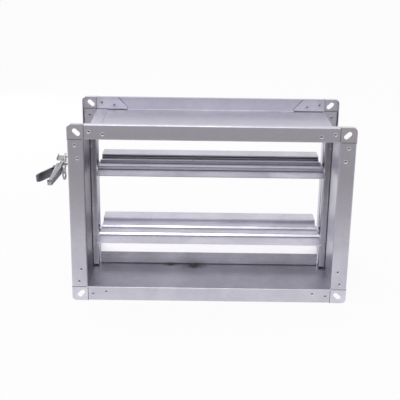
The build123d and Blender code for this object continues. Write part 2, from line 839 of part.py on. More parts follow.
pin_back = crank_inside - link_gap - link_inside
with BuildPart() as link_pins:
    with BuildSketch(link_frame.offset(pin_back)):
        with Locations(*pin_spots):
            Circle(link_pin_head_radius)
    extrude(amount=-link_pin_head_height)
    with BuildSketch(link_frame.offset(pin_back)):
        with Locations(*pin_spots):
            Circle(link_pin_radius)
    extrude(amount=link_plate - pin_back)
    with BuildSketch(link_frame.offset(link_plate)):
        with Locations(*pin_spots):
            Circle(link_pin_head_radius)
    extrude(amount=link_pin_head_height)
write(link_pins.part, "link_pins")
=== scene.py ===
from math import atan2, cos, pi, radians, sin

import bmesh
import bpy
from mathutils import Matrix, Vector


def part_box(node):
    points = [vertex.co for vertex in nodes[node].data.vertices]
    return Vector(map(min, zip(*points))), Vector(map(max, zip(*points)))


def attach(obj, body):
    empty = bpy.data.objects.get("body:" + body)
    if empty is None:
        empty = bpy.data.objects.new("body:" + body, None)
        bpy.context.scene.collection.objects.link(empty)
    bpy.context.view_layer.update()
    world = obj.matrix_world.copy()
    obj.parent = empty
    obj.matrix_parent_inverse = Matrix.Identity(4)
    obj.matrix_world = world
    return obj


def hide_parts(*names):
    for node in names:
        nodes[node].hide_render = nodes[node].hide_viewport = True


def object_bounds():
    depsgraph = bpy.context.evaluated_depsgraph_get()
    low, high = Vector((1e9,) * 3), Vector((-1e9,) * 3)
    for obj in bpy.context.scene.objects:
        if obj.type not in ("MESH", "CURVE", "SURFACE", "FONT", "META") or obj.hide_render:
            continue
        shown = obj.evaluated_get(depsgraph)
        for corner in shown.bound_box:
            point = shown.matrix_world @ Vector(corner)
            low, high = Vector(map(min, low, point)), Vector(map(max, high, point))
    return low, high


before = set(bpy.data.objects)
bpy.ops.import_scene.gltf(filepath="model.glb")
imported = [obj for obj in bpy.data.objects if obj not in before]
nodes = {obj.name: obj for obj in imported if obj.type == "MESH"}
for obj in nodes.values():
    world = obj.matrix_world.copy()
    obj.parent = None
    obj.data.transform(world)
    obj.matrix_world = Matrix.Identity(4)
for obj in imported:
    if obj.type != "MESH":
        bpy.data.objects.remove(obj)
cad_low, cad_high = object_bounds()


# Casing walls: four folded sheets of hot-dip galvanised steel with flanges turned out at both ends.
# Each has a seam tab that laps the next wall and is clinched to it. The zinc is satin and a little
# lilac, with faint crystals, rolling streaks and soft clouds.
MM = 0.001


def linear(hex_colour):
    """Turns an sRGB hex colour into the linear RGBA that a socket takes."""
    channels = [int(hex_colour[i : i + 2], 16) / 255 for i in (1, 3, 5)]
    return [c / 12.92 if c <= 0.04045 else ((c + 0.055) / 1.055) ** 2.4 for c in channels] + [1.0]


def add_node(tree, kind, inputs=None, **settings):
    """Adds a node: settings are its properties, inputs its sockets' values or the links into them."""
    made = tree.nodes.new(kind)
    for name, value in settings.items():
        setattr(made, name, value)
    for socket, value in (inputs or {}).items():
        if isinstance(value, bpy.types.NodeSocket):
            tree.links.new(value, made.inputs[socket])
        else:
            made.inputs[socket].default_value = value
    return made


def zinc_sheet(name, dark, pale, roughness, streak_axis, cloud_mm=55.0, marks=()):
    """Zinc-coated steel: crystals, streaks along the rolling direction, clouds and soft-edged marks, which
    are dirt, painted shade and painted highlights.
    """
    material = bpy.data.materials.new(name)
    material.use_nodes = True
    tree = material.node_tree
    shader = tree.nodes["Principled BSDF"]
    place = add_node(tree, "ShaderNodeTexCoord").outputs["Object"]
    # Real rolling streaks are finer, and are drawn this wide so that they show.
    crystal_mm, streak_width_mm, streak_length_mm = 7.0, 2.5, 160.0
    crystals = add_node(
        tree, "ShaderNodeTexVoronoi", {"Vector": place, "Scale": 1 / (crystal_mm * MM)}, feature="F1"
    )
    crystal_tone = add_node(tree, "ShaderNodeSeparateColor", {"Color": crystals.outputs["Color"]})
    squeeze = [streak_width_mm / streak_length_mm if axis == streak_axis else 1.0 for axis in "XYZ"]
    stretched = add_node(tree, "ShaderNodeMapping", {"Vector": place, "Scale": squeeze}).outputs["Vector"]
    streaks = add_node(
        tree,
        "ShaderNodeTexNoise",
        {"Vector": stretched, "Scale": 1 / (streak_width_mm * MM), "Detail": 3.0, "Roughness": 0.6},
    ).outputs["Fac"]
    clouds = add_node(
        tree,
        "ShaderNodeTexNoise",
        {"Vector": place, "Scale": 1 / (cloud_mm * MM), "Detail": 4.0, "Distortion": 0.6},
    ).outputs["Fac"]
    crystal_share, streak_share, cloud_share = 0.10, 0.35, 0.75
    tone = add_node(
        tree, "ShaderNodeMath", {0: crystal_tone.outputs["Red"], 1: crystal_share}, operation="MULTIPLY"
    ).outputs[0]
    for pattern, share in ((streaks, streak_share), (clouds, cloud_share)):
        tone = add_node(
            tree, "ShaderNodeMath", {0: pattern, 1: share, 2: tone}, operation="MULTIPLY_ADD"
        ).outputs[0]
    ramp = add_node(tree, "ShaderNodeValToRGB", {"Fac": tone})
    darkest, palest = 0.35, 0.85
    for stop, position, shade in zip(ramp.color_ramp.elements, (darkest, palest), (dark, pale)):
        stop.position = position
        stop.color = linear(shade)
    colour = ramp.outputs["Color"]
    torn_edge_mm, noise_middle, full_to, gone_at = 9.0, 0.5, 0.1, 1.0
    # Marks lay stains, painted shade and painted highlights over the zinc.
    for spot, reach, stain_and_painted_light, strength, raggedness in marks:
        offset = add_node(
            tree,
            "ShaderNodeMapping",
            {
                "Vector": place,
                "Location": [value * MM for value in spot],
                "Scale": [value * MM for value in reach],
            },
            vector_type="TEXTURE",
        ).outputs["Vector"]
        far = add_node(tree, "ShaderNodeVectorMath", {0: offset}, operation="LENGTH").outputs["Value"]
        ragged = add_node(
            tree, "ShaderNodeTexNoise", {"Vector": place, "Scale": 1 / (torn_edge_mm * MM), "Detail": 3.0}
        ).outputs["Fac"]
        torn = add_node(
            tree, "ShaderNodeMath", {0: ragged, 1: noise_middle}, operation="SUBTRACT"
        ).outputs[0]
        edge = add_node(
            tree, "ShaderNodeMath", {0: torn, 1: raggedness, 2: far}, operation="MULTIPLY_ADD"
        ).outputs[0]
        amount = add_node(
            tree,
            "ShaderNodeMapRange",
            {"Value": edge, "From Min": full_to, "From Max": gone_at, "To Min": strength, "To Max": 0.0},
        ).outputs["Result"]
        colour = add_node(
            tree, "ShaderNodeMix", {"Factor": amount, "A": colour, "B": linear(stain_and_painted_light)}, data_type="RGBA"
        ).outputs["Result"]
    tree.links.new(colour, shader.inputs["Base Color"])
    shader.inputs["Metallic"].default_value = 1.0
    rough_tone, smooth_tone, rougher, smoother = 0.3, 0.9, 0.07, 0.06
    finish = add_node(
        tree,
        "ShaderNodeMapRange",
        {
            "Value": tone,
            "From Min": rough_tone,
            "From Max": smooth_tone,
            "To Min": roughness + rougher,
            "To Max": roughness - smoother,
        },
    )
    tree.links.new(finish.outputs["Result"], shader.inputs["Roughness"])
    wave_mm, wave_depth_mm, wave_strength, streak_relief = 38.0, 0.8, 0.12, 0.012
    waves = add_node(
        tree, "ShaderNodeTexNoise", {"Vector": place, "Scale": 1 / (wave_mm * MM), "Detail": 1.0}
    ).outputs["Fac"]
    relief = add_node(
        tree, "ShaderNodeMath", {0: streaks, 1: streak_relief, 2: waves}, operation="MULTIPLY_ADD"
    ).outputs[0]
    bump = add_node(
        tree,
        "ShaderNodeBump",
        {"Height": relief, "Strength": wave_strength, "Distance": wave_depth_mm * MM},
    )
    tree.links.new(bump.outputs["Normal"], shader.inputs["Normal"])
    return material


def finish_node(name, material):
    """Gives a carried-over CAD piece its material."""
    mesh = nodes[name].data
    mesh.materials.clear()
    mesh.materials.append(material)


# The jamb's feet lie on the side wall, and the stop's on the floor, so they give the opening's size.
half_width = -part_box("left_jamb")[0].x / MM
half_height = -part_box("bottom_stop")[0].z / MM
wall_dark, wall_pale, wall_roughness = "#C2C0CB", "#D2D0DB", 0.42
roof_sheet = zinc_sheet("galvanised_roof_sheet", wall_dark, wall_pale, wall_roughness, "X")
side_sheet = zinc_sheet("galvanised_side_sheet", wall_dark, wall_pale, wall_roughness, "Z")
# The floor sheet has two smudges of dirt before its stop. Behind the stop it is painted nearly white, a
# painted highlight. Inside, the left sheet has painted shade over its front part. Each mark has a place and a
# reach in millimetres, a colour, a strength and how ragged its edge is.
mark_lift = 0.2
floor_dirt_and_highlight = (
    ((-32.0, 102.0, -half_height), (30.0, 14.0, 20.0), "#3A3633", 0.95, 0.9),
    ((-85.0, 107.0, -half_height), (20.0, 8.0, 20.0), "#443F3C", 0.85, 0.9),
    # Painted highlight: nearly white behind the stop.
    ((0.0, 178.0, -half_height + mark_lift), (900.0, 66.0, 6.0), "#FBF9FD", 2.0, 0.15),
)
# Painted shade: the front part of the left wall's inside is darkened.
left_wall_shade = (((-half_width + mark_lift, 35.0, 0.0), (4.0, 85.0, 400.0), "#827F89", 1.6, 0.2),)
floor_sheet = zinc_sheet(
    "galvanised_floor_sheet", wall_dark, wall_pale, wall_roughness, "X", marks=floor_dirt_and_highlight
)
left_shaded_sheet = zinc_sheet(
    "galvanised_left_shaded_sheet", wall_dark, wall_pale, wall_roughness, "Z", marks=left_wall_shade
)
finish_node("top_wall", roof_sheet)
finish_node("bottom_wall", floor_sheet)
finish_node("left_wall", left_shaded_sheet)
finish_node("right_wall", side_sheet)


# Flange corners: pressed steel plates in brighter zinc, pushed behind the flanges and clinched there.
# Dark grey strips lie in the seams round each square, and a rim stands a little proud round each leg. Both
# are painted shade: they give the thin dark lines where the seams and the legs' edges lie in shadow, which
# set the corners off from the walls.
casing_length = (cad_high.y - cad_low.y) / MM
side_flange = cad_high.x / MM - half_width
top_flange = cad_high.z / MM - half_height
casing_sheet, outer_bend = 1.2, 2.7


def make_piece(name, shape, material, body, replaced=(), smooth_to=40):
    """Turns a finished bmesh into a piece that rides a body and has the given material."""
    bmesh.ops.recalc_face_normals(shape, faces=shape.faces)
    mesh = bpy.data.meshes.new(name)
    shape.to_mesh(mesh)
    shape.free()
    mesh.shade_smooth()
    mesh.set_sharp_from_angle(angle=radians(smooth_to))
    mesh.materials.append(material)
    piece = bpy.data.objects.new(name, mesh)
    bpy.context.scene.collection.objects.link(piece)
    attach(piece, body)
    if replaced:
        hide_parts(*replaced)


def edges_at(points):
    """Lists the edges that meet some points, each once."""
    return list(dict.fromkeys(edge for point in points for edge in point.link_edges))


def soft_block(shape, middle, size, ease):
    """Adds a block with rounded edges; its middle, size and rounding are in millimetres."""
    grow = Matrix.Diagonal([edge * MM for edge in size] + [1.0])
    block = bmesh.ops.create_cube(shape, matrix=Matrix.Translation(Vector(middle) * MM) @ grow)
    bmesh.ops.bevel(
        shape,
        geom=edges_at(block["verts"]),
        offset=ease * MM,
        segments=2,
        profile=0.5,
        affect="EDGES",
        material=-1,
    )


corner_zinc = zinc_sheet("bright_zinc_pressing", "#CBC9D4", "#DEDCE6", 0.38, "X", cloud_mm=30.0)
for name in nodes:
    if name.startswith("corner_"):
        finish_node(name, corner_zinc)

# A matt filler in dark greys, smeared, used for painted shade in seams, pits and along the jamb feet.
shade_filler = bpy.data.materials.new("painted_shade_filler")
shade_filler.use_nodes = True
shade_filler_tree = shade_filler.node_tree
shade_filler_shader = shade_filler_tree.nodes["Principled BSDF"]
shade_filler_place = add_node(shade_filler_tree, "ShaderNodeTexCoord").outputs["Object"]
smear_mm, smear_depth_mm = 6.0, 0.3
smears = add_node(
    shade_filler_tree, "ShaderNodeTexNoise", {"Vector": shade_filler_place, "Scale": 1 / (smear_mm * MM), "Detail": 3.0}
).outputs["Fac"]
shade_filler_tone = add_node(shade_filler_tree, "ShaderNodeValToRGB", {"Fac": smears})
for stop, shade in zip(shade_filler_tone.color_ramp.elements, ("#3A383B", "#5A575A")):
    stop.color = linear(shade)
shade_filler_tree.links.new(shade_filler_tone.outputs["Color"], shade_filler_shader.inputs["Base Color"])
shade_filler_shader.inputs["Roughness"].default_value = 0.75
shade_filler_relief = add_node(
    shade_filler_tree, "ShaderNodeBump", {"Height": smears, "Strength": 0.4, "Distance": smear_depth_mm * MM}
)
shade_filler_tree.links.new(shade_filler_relief.outputs["Normal"], shade_filler_shader.inputs["Normal"])

leg_reach, leg_shoulder, leg_nose, leg_lap, leg_clearance = 100.0, 79.0, 4.0, 2.5, 0.2


def leg_outline(own_flange, along_flange):
    """Gives a leg's corners in millimetres: along the leg from the wall's corner, then across the flange."""
    low, high = outer_bend + leg_clearance, own_flange - outer_bend - leg_clearance
    tip, shoulder = along_flange - leg_reach, along_flange - leg_shoulder
    nose = [(tip + leg_nose / 2, low), (tip, low + leg_nose), (shoulder, high)]
    return [(leg_lap, low), *nose, (leg_lap, high)]


seams, leg_shade_rims = bmesh.new(), bmesh.new()
seam_width, seam_gap, seam_rise, seam_ease = 1.2, 0.8, 0.2, 0.3
shade_rim, shade_rise = 1.0, 0.5
seam_thickness = casing_sheet + seam_rise
seam_x, seam_z = half_width + seam_gap / 2, half_height + seam_gap / 2
upright_run, level_run = top_flange - outer_bend, side_flange - outer_bend
upright_z = half_height + outer_bend + upright_run / 2
level_x = half_width + outer_bend + level_run / 2
roof_leg = leg_outline(top_flange, side_flange)
wall_leg = [(rise, run) for run, rise in leg_outline(side_flange, top_flange)]
flange_corners = [
    (face, inward, across, up)
    for face, inward in ((0.0, 1), (casing_length, -1))
    for across in (-1, 1)
    for up in (-1, 1)
]
for face, inward, across, up in flange_corners:
    seam_depth = face + inward * (seam_thickness / 2 - seam_rise)
    upright_middle = (across * seam_x, seam_depth, up * upright_z)
    soft_block(seams, upright_middle, (seam_width, seam_thickness, upright_run), seam_ease)
    level_middle = (across * level_x, seam_depth, up * seam_z)
    soft_block(seams, level_middle, (level_run, seam_thickness, seam_width), seam_ease)
    leg_depth = face + inward * casing_sheet
    for leg in (roof_leg, wall_leg):
        rim = [
            leg_shade_rims.verts.new(Vector((across * (half_width + x), leg_depth, up * (half_height + z))) * MM)
            for x, z in leg
        ]
        leg_face = leg_shade_rims.faces.new(rim)
        middle = leg_face.calc_center_median()
        spread = [max(v.co[axis] for v in rim) - min(v.co[axis] for v in rim) for axis in (0, 2)]
        grow_x, grow_z = [1 + 2 * shade_rim * MM / span for span in spread]
        bmesh.ops.scale(
            leg_shade_rims, vec=(grow_x, 1, grow_z), space=Matrix.Translation(-middle), verts=rim
        )
        raised = bmesh.ops.extrude_face_region(leg_shade_rims, geom=[leg_face])["geom"]
        bmesh.ops.translate(
            leg_shade_rims,
            vec=(0, inward * shade_rise * MM, 0),
            verts=[part for part in raised if isinstance(part, bmesh.types.BMVert)],
        )
make_piece("corner_seam_shade", seams, shade_filler, "casing")
make_piece("corner_leg_shade", leg_shade_rims, shade_filler, "casing")


# Clinched spots: round pits punched through the flange into the corner's leg, which hold the corner.
# A rolled lip stands round each pit. A dark disc lies in the pit and in the dimple on the other side, a
# little above their middles: painted shade, where the pit's upper wall shades its floor.
clinch_spots = ((43.0, 15.0), (70.5, 20.0))
pit_shade = [(0, -0.62), (1.7, -0.58), (1.85, -0.68), (1.0, -0.9), (0, -0.98)]
pit_lip = [(4.4, -0.1), (3.7, 0.3), (3.3, 0.32), (2.5, -0.5), (3.0, -0.9), (4.2, -0.6), (4.4, -0.1)]
pit_shade_steps, lip_steps, pit_shade_lift, pit_depth, dimple_floor = 16, 20, 0.6, 1.0, 3.3
pole_weld = 0.001


def turned(outline, steps=24):
    """Spins an outline of radius and height pairs, in millimetres, into a closed shape about Z."""
    shape = bmesh.new()
    points = [shape.verts.new((radius * MM, 0, height * MM)) for radius, height in outline]
    lines = [shape.edges.new(pair) for pair in zip(points, points[1:])]
    bmesh.ops.spin(
        shape, geom=points + lines, cent=(0, 0, 0), axis=(0, 0, 1), angle=2 * pi, steps=steps, use_merge=True
    )
    bmesh.ops.remove_doubles(shape, verts=shape.verts, dist=pole_weld * MM)
    return shape


def repeated(item, places):
    """Copies a small shape to each place, in one mesh."""
    pattern = bpy.data.meshes.new("pattern")
    item.to_mesh(pattern)
    item.free()
    shape = bmesh.new()
    for place in places:
        start = len(shape.verts)
        shape.from_mesh(pattern)
        shape.verts.ensure_lookup_table()
        bmesh.ops.transform(shape, matrix=place, verts=shape.verts[start:])
    bpy.data.meshes.remove(pattern)
    return shape


far_x, far_z = half_width + side_flange, half_height + top_flange
clinch_points = [(far_x - run, far_z - inset) for run, inset in clinch_spots]
clinch_points += [(far_x - inset, far_z - run) for run, inset in clinch_spots]
lift = Matrix.Translation((0, 0, pit_shade_lift * MM))
pit_shade_places, lip_places = [], []
for face, inward, across, up in flange_corners:
    pit_turn = Matrix.Rotation(radians(90 * inward), 4, "X")
    dimple_turn = Matrix.Rotation(radians(-90 * inward), 4, "X")
    pit_shade_level = face + inward * (dimple_floor + pit_depth)
    for x, z in clinch_points:
        pit = Matrix.Translation(Vector((across * x, face, up * z)) * MM) @ pit_turn
        dimple_middle = Vector((across * x, pit_shade_level, up * z)) * MM
        lip_places.append(pit)
        pit_shade_places.append(lift @ pit)
        pit_shade_places.append(lift @ Matrix.Translation(dimple_middle) @ dimple_turn)
lips = repeated(turned(pit_lip, lip_steps), lip_places)
make_piece("clinch_pit_lips", lips, side_sheet, "casing")
pit_shades = repeated(turned(pit_shade, pit_shade_steps), pit_shade_places)
make_piece("clinch_pit_shade", pit_shades, shade_filler, "casing")


# Jambs: hat channels of galvanised strip with two pressed beads, riveted inside the side walls.
# They hold the bushes and stiffen the casing. A dark strip along each foot's front edge is painted shade, the
# shadow in the gap in front of the foot.
# The rivets are plated steel, with a smooth dome inside and a peened tail outside.
jamb_foot, jamb_rivet_spacing = 15.0, 118.0
# The strip is smoother than the walls, so its folds show as sharper pale and dark bands.
jamb_sheet = zinc_sheet("galvanised_jamb_strip", "#AEACB6", "#CFCDD7", 0.30, "Z")
finish_node("left_jamb", jamb_sheet)
finish_node("right_jamb", jamb_sheet)
jamb_low, jamb_high = [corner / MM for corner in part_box("left_jamb")]
foot_shade_inset, foot_shade_before, foot_shade_ease = 0.7, 1.4, 0.6
foot_shade_size = (1.8, 4.0, jamb_high.z - jamb_low.z)
foot_shade_x, foot_shade_y = half_width - foot_shade_inset, jamb_low.y - foot_shade_before
foot_shade_z = (jamb_low.z + jamb_high.z) / 2
foot_shade = bmesh.new()
for across in (-1, 1):
    soft_block(
        foot_shade, (across * foot_shade_x, foot_shade_y, foot_shade_z), foot_shade_size, foot_shade_ease
    )
make_piece("jamb_foot_shade", foot_shade, shade_filler, "casing")

# Electroplated zinc is a cleaner, more neutral grey than the dipped sheet, with a brighter shine.
plated_steel = zinc_sheet("zinc_plated_steel", "#BCBCC1", "#DCDCE0", 0.30, "X", cloud_mm=12.0)
rivet_head = [(0, 1.3), (0.9, 1.24), (1.7, 1.08), (2.4, 0.8), (2.9, 0.42), (3.2, 0)]
rivet_tail = [(1.6, 0), (1.6, -2.4), (2.5, -2.4), (2.6, -2.6), (2.6, -3.2), (2.3, -3.4), (0, -3.4)]
jamb_rivet_places = [
    Matrix.Translation(Vector((across * (half_width - casing_sheet), y, step * jamb_rivet_spacing)) * MM)
    @ Matrix.Rotation(radians(-90 * across), 4, "Y")
    for across in (-1, 1)
    for y in (jamb_low.y + jamb_foot / 2, jamb_high.y - jamb_foot / 2)
    for step in (-1, 0, 1)
]
jamb_rivets = repeated(turned(rivet_head + rivet_tail), jamb_rivet_places)
make_piece("jamb_dome_rivets", jamb_rivets, plated_steel, "casing", ["jamb_rivets"])


# Stop strips: bent galvanised angles on the floor and under the roof, which the closed blades meet.
# They are duller than the walls. Four dome rivets hold each one.
stop_sheet = zinc_sheet("galvanised_stop_strip", "#B0AFB6", "#C9C8CF", 0.45, "X")
finish_node("top_stop", stop_sheet)
finish_node("bottom_stop", stop_sheet)
stop_rivet_spacing, rivet_radius = 140.0, rivet_head[-1][0]
rivets_low, rivets_high = [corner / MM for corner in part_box("stop_rivets")]
floor_row, roof_row = rivets_high.y - rivet_radius, rivets_low.y + rivet_radius
rivet_seat = half_height - casing_sheet
stop_rivet_places = []
for step in (-1.5, -0.5, 0.5, 1.5):
    x = step * stop_rivet_spacing
    stop_rivet_places.append(Matrix.Translation(Vector((x, floor_row, -rivet_seat)) * MM))
    roof_place = Matrix.Translation(Vector((x, roof_row, rivet_seat)) * MM)
    stop_rivet_places.append(roof_place @ Matrix.Rotation(pi, 4, "X"))
stop_rivets = repeated(turned(rivet_head + rivet_tail), stop_rivet_places)
make_piece("stop_dome_rivets", stop_rivets, plated_steel, "casing", ["stop_rivets"])


# Bushes: flanged sleeves of black nylon, pressed through the jambs and the side walls.
# The moulding leaves a fine satin grain, and wear makes it paler in patches. The grain is drawn
# coarser than the real one.
nylon = bpy.data.materials.new("moulded_nylon")
nylon.use_nodes = True
nylon_tree = nylon.node_tree
nylon_shader = nylon_tree.nodes["Principled BSDF"]
nylon_place = add_node(nylon_tree, "ShaderNodeTexCoord").outputs["Object"]
grain_mm, grain_depth_mm, wear_mm = 0.6, 0.05, 5.0
grain = add_node(
    nylon_tree, "ShaderNodeTexNoise", {"Vector": nylon_place, "Scale": 1 / (grain_mm * MM), "Detail": 2.0}
).outputs["Fac"]
wear = add_node(
    nylon_tree, "ShaderNodeTexNoise", {"Vector": nylon_place, "Scale": 1 / (wear_mm * MM), "Detail": 3.0}
).outputs["Fac"]
nylon_tone = add_node(nylon_tree, "ShaderNodeValToRGB", {"Fac": wear})
for stop, shade in zip(nylon_tone.color_ramp.elements, ("#232326", "#3A3A3E")):
    stop.color = linear(shade)
nylon_tree.links.new(nylon_tone.outputs["Color"], nylon_shader.inputs["Base Color"])
nylon_shader.inputs["Roughness"].default_value = 0.5
nylon_shader.inputs["IOR"].default_value = 1.53
nylon_relief = add_node(
    nylon_tree, "ShaderNodeBump", {"Height": grain, "Strength": 0.3, "Distance": grain_depth_mm * MM}
)
nylon_tree.links.new(nylon_relief.outputs["Normal"], nylon_shader.inputs["Normal"])
for name in nodes:
    if name.endswith("_bush"):
        finish_node(name, nylon)


# Blades: roll-formed galvanised sheet with two ribs and a stepped flap that laps the next blade.
# The zinc is smoother than the casing's, streaked along the roll. Each blade is held on its shafts
# by four pan-head screws with a cross recess, driven from above.
blade_sheet = zinc_sheet("galvanised_blade_sheet", "#BCBAC6", "#D4D2DF", 0.31, "X", cloud_mm=80.0)
finish_node("upper_blade", blade_sheet)
finish_node("lower_blade", blade_sheet)
recess_arm, recess_half, recess_depth = 1.45, 0.33, 0.9
crown_radius, crown_height = 1.9, 1.38
head_rings = [(2.35, 1.15), (2.65, 0.8), (2.8, 0.4), (2.8, 0.0)]
screw_top, screw_spacing, screw_turn = 1.5, 37.0, 0.7


def cross_head():
    """Makes a pan head with a cross recess; its underside is at height 0."""
    shape = bmesh.new()
    a, b = recess_arm, recess_half
    cross = [(a, b), (b, b), (b, a), (-b, a), (-b, b), (-a, b)]
    cross += [(-x, -y) for x, y in cross]
    rim = [shape.verts.new((x * MM, y * MM, screw_top * MM)) for x, y in cross]
    top = shape.faces.new(rim)
    ring = bmesh.ops.create_circle(
        shape,
        segments=len(cross),
        radius=crown_radius * MM,
        matrix=Matrix.Translation((0, 0, crown_height * MM)) @ Matrix.Rotation(atan2(b, a), 4, "Z"),
    )["verts"]
    loop = edges_at(ring)
    bmesh.ops.bridge_loops(shape, edges=loop + list(top.edges))
    for radius, height in head_rings:
        grown = bmesh.ops.extrude_edge_only(shape, edges=loop)["geom"]
        loop = [part for part in grown if isinstance(part, bmesh.types.BMEdge)]
        for corner in {corner for edge in loop for corner in edge.verts}:
            flat = Vector((corner.co.x, corner.co.y)).normalized() * radius * MM
            corner.co = (flat.x, flat.y, height * MM)
    bmesh.ops.contextual_create(shape, geom=loop)
    sunk = bmesh.ops.extrude_face_region(shape, geom=[top])["geom"]
    floor_points = [part for part in sunk if isinstance(part, bmesh.types.BMVert)]
    bmesh.ops.translate(shape, vec=(0, 0, -recess_depth * MM), verts=floor_points)
    return shape


for level in ("upper", "lower"):
    node, body = f"{level}_blade_screws", f"{level}_blade"
    low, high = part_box(node)
    outer = high.x - head_rings[-1][0] * MM
    spots = [side * (outer - step * screw_spacing * MM) for side in (-1, 1) for step in (0, 1)]
    places = [
        Matrix.Translation((x, (low.y + high.y) / 2, high.z - screw_top * MM))
        @ Matrix.Rotation(screw_turn * index, 4, "Z")
        for index, x in enumerate(spots)
    ]
    screws = repeated(cross_head(), places)
    make_piece(f"{level}_cross_screws", screws, plated_steel, body, [node])


# Step shade: a strip of dark grey on the step of the upper blade's flap is painted shade. It stands for the
# step's riser, which lies dark, and shows as a matt dark line. Its cells are drawn coarser than real ones.
step_shade = bpy.data.materials.new("painted_step_shade")
step_shade.use_nodes = True
step_shade_tree = step_shade.node_tree
step_shade_shader = step_shade_tree.nodes["Principled BSDF"]
step_shade_place = add_node(step_shade_tree, "ShaderNodeTexCoord").outputs["Object"]
cell_mm, cell_depth_mm = 0.8, 0.2
cells = add_node(
    step_shade_tree, "ShaderNodeTexVoronoi", {"Vector": step_shade_place, "Scale": 1 / (cell_mm * MM)}
).outputs["Distance"]
step_shade_tone = add_node(step_shade_tree, "ShaderNodeValToRGB", {"Fac": cells})
for stop, shade in zip(step_shade_tone.color_ramp.elements, ("#56565A", "#707076")):
    stop.color = linear(shade)
step_shade_tree.links.new(step_shade_tone.outputs["Color"], step_shade_shader.inputs["Base Color"])
step_shade_shader.inputs["Roughness"].default_value = 0.9
step_shade_relief = add_node(
    step_shade_tree, "ShaderNodeBump", {"Height": cells, "Strength": 0.4, "Distance": cell_depth_mm * MM}
)
step_shade_tree.links.new(step_shade_relief.outputs["Normal"], step_shade_shader.inputs["Normal"])
blade_low, blade_high = [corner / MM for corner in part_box("upper_blade")]
blade_axis = (blade_low.y + blade_high.y) / 2
flap_step, blade_thickness = 41.5, 1.2
strip_end_gap, strip_depth, strip_height, strip_ease = 2.0, 1.8, 3.4, 0.5
strip_before_step, strip_above_blade = 1.0, 3.2
strip_size = (blade_high.x - blade_low.x - 2 * strip_end_gap, strip_depth, strip_height)
strip_middle = (
    0.0,
    blade_axis + flap_step - strip_before_step,
    blade_low.z + blade_thickness + strip_above_blade,
)
step_shade_strip = bmesh.new()
soft_block(step_shade_strip, strip_middle, strip_size, strip_ease)
make_piece("flap_step_shade", step_shade_strip, step_shade, "upper_blade")


# Shafts, washers and nuts: plated bright steel. The shafts are turned, with a flat for the blade and
# a squared, threaded end. The nuts are cold-forged hexagons with chamfered corners.
for name in (
    "drive_shaft",
    "upper_stub_shaft",
    "lower_stub_shaft",
    "lower_free_shaft",
    "upper_shaft_washers",
    "lower_shaft_washers",
):
    finish_node(name, plated_steel)
nut_flat, nut_height, nut_bore, nut_face = 5.0, 4.5, 3.03, 4.75
nut_segments, chamfer_slope, nut_smooth_to = 24, 0.577, 25


def chamfered_nut():
    """Makes a hexagon nut about Z with its underside at height 0."""
    shape = bmesh.new()
    bore = bmesh.ops.create_circle(shape, segments=nut_segments, radius=nut_bore * MM)["verts"]
    loop = edges_at(bore)
    for flare, top in ((0, 0), (1, 0), (1, 1), (0, 1), (-1, 1)):
        grown = bmesh.ops.extrude_edge_only(shape, edges=loop)["geom"]
        loop = [part for part in grown if isinstance(part, bmesh.types.BMEdge)]
        for corner in {corner for edge in loop for corner in edge.verts}:
            angle = atan2(corner.co.y, corner.co.x)
            from_flat = (angle % (pi / 3)) - pi / 6
            radius = {1: nut_flat / cos(from_flat), 0: nut_face, -1: nut_bore}[flare]
            drop = (radius - nut_face) * chamfer_slope if flare == 1 else 0.0
            height = nut_height - drop if top else drop
            corner.co = Vector((radius * cos(angle), radius * sin(angle), height)) * MM
    bore_edges = [edge for edge in edges_at(bore) if edge.is_boundary]
    bmesh.ops.bridge_loops(shape, edges=loop + bore_edges)
    return shape


for level, sides in (("upper", (-1, 1)), ("lower", (1,))):
    node, body = f"{level}_shaft_nuts", f"{level}_blade"
    low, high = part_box(node)
    places = []
    for across in sides:
        outside = high.x if across > 0 else low.x
        middle = Vector((outside - across * nut_height * MM, (low.y + high.y) / 2, (low.z + high.z) / 2))
        turn = Matrix(((0, 0, across, 0), (1, 0, 0, 0), (0, across, 0, 0), (0, 0, 0, 1)))
        places.append(Matrix.Translation(middle) @ turn)
    nuts = repeated(chamfered_nut(), places)
    make_piece(f"{level}_hexagon_nuts", nuts, plated_steel, body, [node], nut_smooth_to)


# Cranks and link bar: plate arms in plated steel outside the right wall, with riveted pins.
# They carry the turn of the upper blade on to the lower one.
for name in ("upper_crank", "lower_crank", "link_bar", "link_pins"):
    finish_node(name, plated_steel)


# Quadrant and its pillars: a stamped plate with an arc slot, on two turned posts peened into the wall.
# Both are zinc plated, with a satin face and faint rolling lines.
quadrant_zinc = zinc_sheet("zinc_plated_plate", "#8C8C90", "#AEAEB3", 0.26, "Y", cloud_mm=14.0)
finish_node("quadrant", quadrant_zinc)
finish_node("standoff_pillars", plated_steel)


# Hand lever, lock bolt and clamp nut: the lever and the nut's leaf are pressed steel with eased edges,
# and turning the leaf locks the lever on the quadrant. The lever's zinc is dull grey and mirrors softly,
# the leaf's is darker and more matt, and the bolt is plated like the shafts.
dull_zinc = zinc_sheet("dull_galvanised_pressing", "#939395", "#B4B4B7", 0.24, "Y", cloud_mm=14.0)
dark_zinc = zinc_sheet("dark_passivated_zinc", "#78787A", "#949496", 0.30, "Y", cloud_mm=14.0)
finish_node("lock_bolt", plated_steel)
edge_ease, weld_mm, flat_degrees, sharp_degrees = 0.35, 0.005, 1, 50


